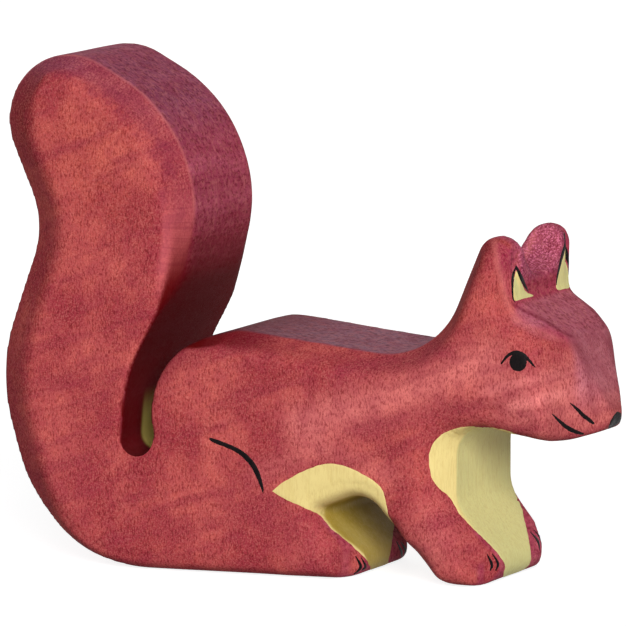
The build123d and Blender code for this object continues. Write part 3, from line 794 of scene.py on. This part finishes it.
# The nose: a black dab over the tip of the muzzle, wider below than above. The brush is set down once, so the
# dab has a round edge and no outline.
nose_edge = flowing([(42.6, -17.6), (42.8, -16.5), (43.15, -15.6), (43.6, -14.8), (44.1, -14.25), (45, -14)])
nose_outline = np.vstack((nose_edge, [(50, -13.9), (50, -17.6)]))
coat("nose", "nose_paint", black,
     lambda spots: within(seen(folded(spots)), nose_outline) + brushed(spots, 0.6, 0.05),
     (41, -6, 18), (46, 6, 28), splits=2, thickness=black_film)

# The whiskers: two black strokes down each cheek, drawn towards the mouth with a fine brush. They are
# thin where the brush lands and full where it lifts.
whisker_lines = [flowing([(37.3, -13.06, 0.1), (38.3, -13.96, 0.24), (39.2, -14.86, 0.3), (40.1, -15.56, 0.3),
                          (40.6, -15.96, 0.2)]),
                 flowing([(34.7, -14.66, 0.1), (35.5, -15.46, 0.22), (36.4, -16.26, 0.3), (37.3, -16.86, 0.34),
                          (38.3, -17.3, 0.28), (39.1, -17.5, 0.16)])]
for side, low_y, high_y in (("right", -15.1, -1), ("left", 1, 15.1)):
    coat(f"{side}_whiskers", f"{side}_whiskers", black,
         lambda spots: on_strokes(seen(folded(spots)), whisker_lines) + brushed(spots, 0.5, 0.03),
         (37, low_y, 19), (46, high_y, 30), splits=2, thickness=black_film)

# The thigh lines: one black stroke on each flank that bows round the top of the hind leg. It is painted, not
# cut, and swells towards the middle of the bow.
thigh_line = flowing([(-11.4, 19.75, 0.2), (-10.4, 19.4, 0.34), (-9.4, 19.1, 0.33), (-7.4, 18.4, 0.36),
                      (-5.8, 17.4, 0.4), (-4.6, 16.1, 0.42), (-3.8, 14.5, 0.36), (-3.3, 13.1, 0.22),
                      (-3.15, 12.1, 0.06)])
for side, low_y, high_y in (("right", -15.1, -12), ("left", 12, 15.1)):
    coat(f"{side}_thigh_line", f"{side}_thigh_line", black,
         lambda spots: on_stroke(spots[:, [0, 2]], thigh_line) + brushed(spots, 0.6, 0.04),
         (-13, low_y, 10), (0, high_y, 22), splits=2, thickness=black_film)

# The claws: two short slanting strokes on the outer half of each foot, flicked on with the tip of the brush.
# They are only black paint on the rounded toes, with no cut in the wood.
claw_strokes = {
    "right_hind": (seen, [[(6.2, -35.3, 0.1), (6.9, -36.6, 0.24), (6.6, -37.3, 0.2), (6, -37.8, 0.1)],
                          [(7, -35.5, 0.08), (7.6, -36.7, 0.2), (7.1, -37.3, 0.1)]]),
    "left_hind": (seen, [[(12.1, -33.1, 0.08), (12.8, -34.5, 0.2), (12.9, -35.3, 0.12)],
                         [(12.7, -33.1, 0.08), (13.4, -34.3, 0.2), (13.3, -35, 0.1)]]),
    "right_fore": (seen, [[(25.2, -34.9, 0.08), (25.9, -36.4, 0.24), (25.7, -37.3, 0.12)],
                          [(26, -34.9, 0.08), (26.8, -36.3, 0.22), (26.5, -37.3, 0.1)]]),
    "left_fore": (from_front, [[(7, 5.5, 0.16), (7.5, 4.3, 0.48), (7.3, 3, 0.2)],
                               [(8.7, 5.5, 0.16), (9.2, 4.3, 0.48), (9, 3, 0.2)]])}
for foot, (look, strokes) in claw_strokes.items():
    lines = [flowing(stroke) for stroke in strokes]
    low_y, high_y = (-15.1, -2) if foot.startswith("right") else (0.5, 12)
    low_x, high_x = (22, 34) if foot.endswith("fore") else (2, 12)
    coat(f"{foot}_claws", f"{foot}_claws", black,
         lambda spots: on_strokes(look(spots), lines) + brushed(spots, 0.4, 0.03),
         (low_x, low_y, -0.1), (high_x, high_y, 8), splits=2, thickness=black_film)

# The table: a wide sheet of white paper that the figure stands on. It looks white to the eye, keeps the
# shadow of the figure, and throws little light back up.
half_sheet = 8  # metres
sweep = bpy.data.meshes.new("table")
sweep.from_pydata([(-half_sheet, -half_sheet, 0), (half_sheet, -half_sheet, 0), (half_sheet, half_sheet, 0),
                   (-half_sheet, half_sheet, 0)], [], [(0, 1, 2, 3)])
table = set_up("table", sweep)
paper, tree, shader = finish("white_paper")
shader.inputs["Base Color"].default_value = (0.35, 0.35, 0.35, 1)
shader.inputs["Roughness"].default_value = 0.9


def straight_rays(tree):
    """One for what is seen straight, mirrored or through glass, and zero for scattered light."""
    path = wire(tree, "LightPath", {}).outputs
    mirrored = sums(tree, "MAXIMUM", path["Is Camera Ray"], path["Is Glossy Ray"])
    return sums(tree, "MAXIMUM", mirrored, path["Is Transmission Ray"])


glow = wire(tree, "Emission", {"Color": (1, 1, 1, 1), "Strength": 0.84}).outputs[0]
dull = wire(tree, "BsdfDiffuse", {"Color": (0.45, 0.45, 0.45, 1)}).outputs[0]
bright = wire(tree, "AddShader", {0: glow, 1: dull}).outputs[0]
shown = wire(tree, "MixShader", {0: straight_rays(tree), 1: shader.outputs[0], 2: bright}).outputs[0]
tree.links.new(shown, tree.nodes["Material Output"].inputs["Surface"])
sweep.materials.append(paper)

# The light: white all round, one broad lamp from the front, a little to the right and above, and a weaker one
# from behind.
world = bpy.data.worlds.new("studio")
world.use_nodes = True
bpy.context.scene.world = world
tree = world.node_tree
sky = tree.nodes["Background"].inputs
sky["Color"].default_value = (1, 1, 1, 1)
tree.links.new(band(tree, straight_rays(tree), 0.0, 1.0, 0.1, 1.0), sky["Strength"])
for name, strength, shines in (("broad_lamp", 3.6, (-0.485, 0.875, -0.34)),
                               ("back_lamp", 1.6, (0.5, -0.83, -0.25))):
    lamp = bpy.data.lights.new(name, "SUN")
    lamp.energy = strength
    lamp.angle = radians(28)
    lamp_object = set_up(name, lamp)
    lamp_object.rotation_euler = Vector(shines).to_track_quat("-Z", "Y").to_euler()
    lamp_object.visible_glossy = name == "broad_lamp"

# The camera: far off with a long lens, where the painter looks from, in front of the right cheek and a little
# above the table.
camera = bpy.data.cameras.new("camera")
camera.sensor_width = 36
camera.lens = 517.6
camera.clip_end = 50
camera_object = set_up("camera", camera)
camera_object.location = (middle + stand_off * toward) / 1000
camera_object.rotation_euler = Vector(toward).to_track_quat("Z", "Y").to_euler()
bpy.context.scene.camera = camera_object
bpy.context.scene.view_settings.view_transform = "Standard"
